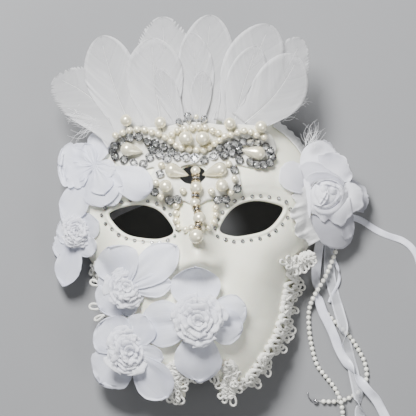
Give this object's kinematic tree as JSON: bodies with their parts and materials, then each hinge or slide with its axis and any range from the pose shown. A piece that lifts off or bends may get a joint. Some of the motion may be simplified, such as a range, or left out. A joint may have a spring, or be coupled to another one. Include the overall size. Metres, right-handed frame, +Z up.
{
  "type": "venetian mask",
  "caption": "Full-face carnival mask lying face up, with a feather fan, pearl and stone brow piece, fabric flowers, edging lace, ribbons and bead strings.",
  "frame": {"origin": "on the surface that the mask lies on, under the middle of the dressed mask without its free ribbons and strings", "axes": "+Z up out of the face, +Y towards the forehead and feathers, +X towards the side with the rose"},
  "size_m": [0.3118, 0.2995, 0.0868],
  "materials": {
    "shell": "ivory white, fine leather-like grain, satin",
    "feather": "white goose feather",
    "cloth": "white sheer fabric petals",
    "lace": "ivory looped braid",
    "pearl": "cream pearl lustre",
    "stone": "clear stones in bright metal cups",
    "ribbon": "white satin and organza ribbon",
    "card": "ivory felt backing"
  },
  "bodies": {
    "root": {"mask_shell": "shell", "feather_left_outer": "feather", "feather_left_broad": "feather", "feather_left_round": "feather", "feather_left_back": "feather", "feather_centre_back": "feather", "feather_centre_front": "feather", "feather_right_tall": "feather", "feather_right_middle": "feather", "feather_right_back": "feather", "feather_right_front": "feather", "feather_small_left": "feather", "feather_small_right": "feather", "brow_card": "card", "pearl_row_brow": "pearl", "pearl_row_crown": "pearl", "stone_chain_brow": "stone", "stone_chain_left": "stone", "pearl_top_far_left": "pearl", "pearl_top_left": "pearl", "pearl_top_right": "pearl", "pearl_top_far_right": "pearl", "pearl_centre_left": "pearl", "pearl_centre_right": "pearl", "pearl_wing_left": "pearl", "pearl_wing_right": "pearl", "drop_pearl_left": "pearl", "drop_pearl_right": "pearl", "drop_pearl_wing_left": "pearl", "drop_pearl_wing_right": "pearl", "pearl_column": "pearl", "pearl_chain_nose_left": "pearl", "pearl_chain_nose_right": "pearl", "flower_cheek": "cloth", "flower_mouth": "cloth", "flower_chin": "cloth", "flower_cheek_outer": "cloth", "flower_temple": "cloth", "flower_cheek_heart": "cloth", "flower_mouth_heart": "cloth", "flower_chin_heart": "cloth", "flower_cheek_outer_heart": "cloth", "rose_outer_petals": "cloth", "rose_inner_petals": "cloth", "rose_heart": "cloth", "lace_right": "lace", "lace_left": "lace", "lace_leaf_right": "lace", "lace_leaf_left": "lace", "lace_brow_right": "lace", "tie_ribbon_right": "ribbon", "tie_ribbon_left": "ribbon", "streamer_satin": "ribbon", "streamer_organza": "ribbon", "ribbon_thin": "ribbon", "bead_string_long": "pearl", "bead_string_crossed": "pearl", "tie_coil_right": "ribbon", "tie_coil_left": "ribbon"}
  },
  "joints": []
}
